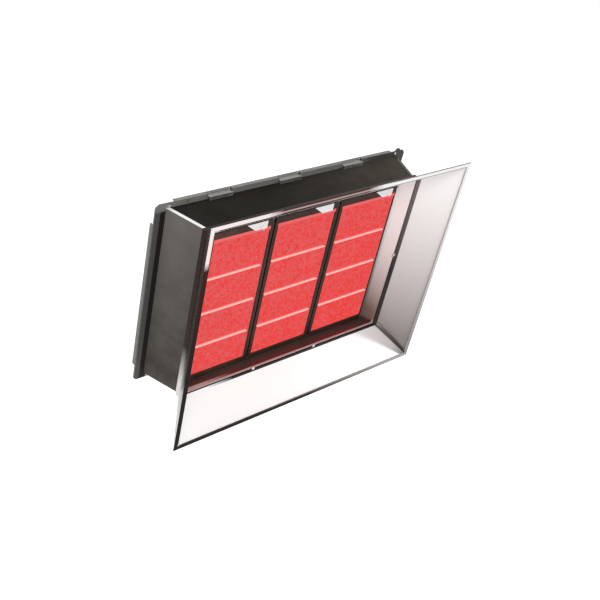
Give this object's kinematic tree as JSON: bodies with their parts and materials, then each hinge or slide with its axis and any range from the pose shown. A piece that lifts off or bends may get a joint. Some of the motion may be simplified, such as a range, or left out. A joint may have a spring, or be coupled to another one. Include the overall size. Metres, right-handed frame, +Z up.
{
  "type": "gas infrared heater",
  "caption": "Wall-mounted luminous gas infrared heater: glowing ceramic plate burners in a dark tapered casing behind a flared polished reflector hood, on a tilting bracket",
  "frame": {"origin": "middle of the four wall holes, on the rear face of the wall plate", "axes": "+X right across the width as seen from the front, +Y into the wall, +Z up; the heater faces -Y"},
  "size_m": [0.7634, 0.4215, 0.599],
  "materials": {
    "black_steel": "satin",
    "zinc_steel": "satin",
    "grey_steel": "satin",
    "dark_enamel": "satin",
    "grey_enamel": "satin",
    "polished_steel": "polished",
    "aluminised_steel": "satin",
    "glowing_ceramic": "matte",
    "glowing_strip": "matte",
    "fibre_gasket": "matte",
    "cast_aluminium": "satin",
    "brass": "satin",
    "black_plastic": "matte",
    "black_rubber": "matte",
    "yellow_paint": "gloss",
    "green_board": "satin",
    "red_plastic": "gloss",
    "white_ceramic": "gloss"
  },
  "bodies": {
    "bracket": {"wall_bracket": "black_steel", "pivot_bolts": "zinc_steel", "pivot_nuts": "zinc_steel"},
    "heater": {"pivot_washers": "zinc_steel", "support_rail": "grey_steel", "pivot_ears": "grey_steel", "rear_frame": "grey_steel", "rear_panel": "grey_steel", "frame_screws": "zinc_steel", "housing_top": "dark_enamel", "housing_bottom": "dark_enamel", "housing_left": "grey_enamel", "housing_right": "grey_enamel", "edge_strips": "polished_steel", "inner_collar": "polished_steel", "hood_top": "polished_steel", "hood_bottom": "polished_steel", "hood_left": "polished_steel", "hood_right": "polished_steel", "burner_pan_left": "aluminised_steel", "burner_pan_middle": "aluminised_steel", "burner_pan_right": "aluminised_steel", "bezel_left": "dark_enamel", "bezel_middle": "dark_enamel", "bezel_right": "dark_enamel", "plates_left": "glowing_ceramic", "plates_middle": "glowing_ceramic", "plates_right": "glowing_ceramic", "joint_strips": "glowing_strip", "plate_gaskets": "fibre_gasket", "burner_clips": "polished_steel", "baffle_plates": "aluminised_steel", "burner_rails": "aluminised_steel", "venturi_tubes": "cast_aluminium", "injectors": "brass", "gas_rail": "zinc_steel", "rail_plug": "brass", "rail_saddles": "grey_steel", "rail_union": "brass", "valve_body": "cast_aluminium", "valve_tube": "brass", "valve_coil": "black_plastic", "coil_yoke": "zinc_steel", "coil_nut": "zinc_steel", "valve_spring": "zinc_steel", "tap_body": "brass", "control_box": "grey_enamel", "control_lid": "grey_enamel", "control_board": "green_board", "button_spring": "zinc_steel", "cable_gland": "black_plastic", "electrodes": "white_ceramic"},
    "tap": {"tap_ball": "polished_steel", "tap_stem": "zinc_steel", "tap_lever": "yellow_paint", "tap_nut": "zinc_steel"},
    "plunger": {"valve_plunger": "zinc_steel", "valve_seal": "black_rubber"},
    "button": {"reset_button": "red_plastic"}
  },
  "joints": [
    {"name": "heater_tilt", "type": "hinge", "parent": "bracket", "child": "heater", "pos_m": [0, -0.175, 0.052], "axis": [1, 0, 0], "range_deg": [-10, 35]},
    {"name": "tap_turn", "type": "hinge", "parent": "heater", "child": "tap", "pos_m": [0.3215, -0.14, -0.078], "axis": [0, 1, 0], "range_deg": [-90, 0]},
    {"name": "valve_lift", "type": "slide", "parent": "heater", "child": "plunger", "axis": [0, 0, 1], "range_m": [0, 0.003], "stiffness_N_per_m": 400, "springref_m": -0.004, "deforming": ["valve_spring"]},
    {"name": "reset_press", "type": "slide", "parent": "heater", "child": "button", "axis": [0, 0, 1], "range_m": [0, 0.003], "stiffness_N_per_m": 500, "springref_m": -0.003, "deforming": ["button_spring"]}
  ]
}
